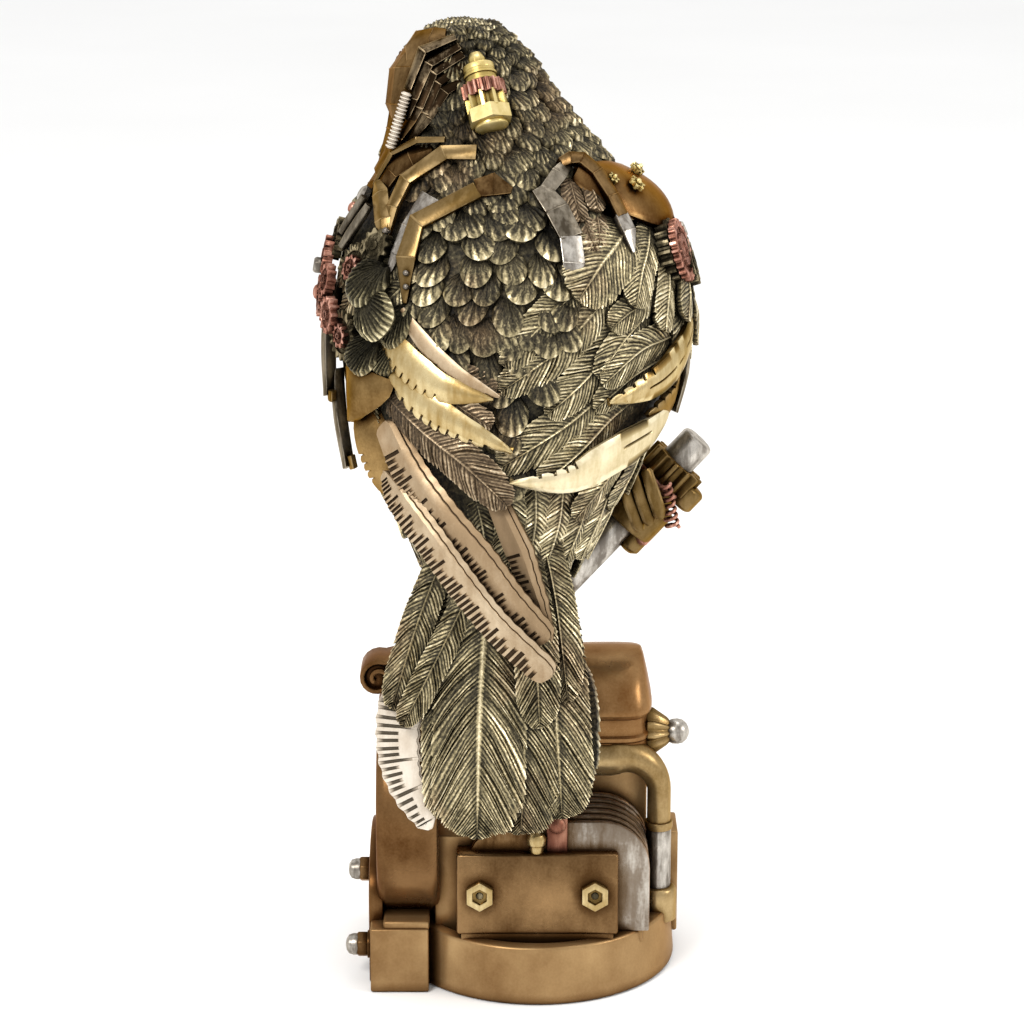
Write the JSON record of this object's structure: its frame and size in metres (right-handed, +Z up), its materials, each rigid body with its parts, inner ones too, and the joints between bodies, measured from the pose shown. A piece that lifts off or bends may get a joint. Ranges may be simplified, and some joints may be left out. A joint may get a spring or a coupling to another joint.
{
  "type": "bird figurine",
  "caption": "Crow figurine with feathers, clockwork plates, saw blades and rulers, gripping a slanted bar that rises from a round engine-shaped plinth.",
  "frame": {"origin": "centre of the round base's underside", "axes": "+Z up, +Y the way the bird faces, +X the bird's right, so its back is seen from -Y"},
  "size_m": [0.109, 0.106, 0.2691],
  "materials": {
    "antique_brass": "satin",
    "dull_steel": "satin",
    "bronze": "satin"
  },
  "bodies": {
    "root": {"crow": "antique_brass", "perch_bar": "dull_steel", "engine_plinth": "bronze"}
  },
  "joints": []
}
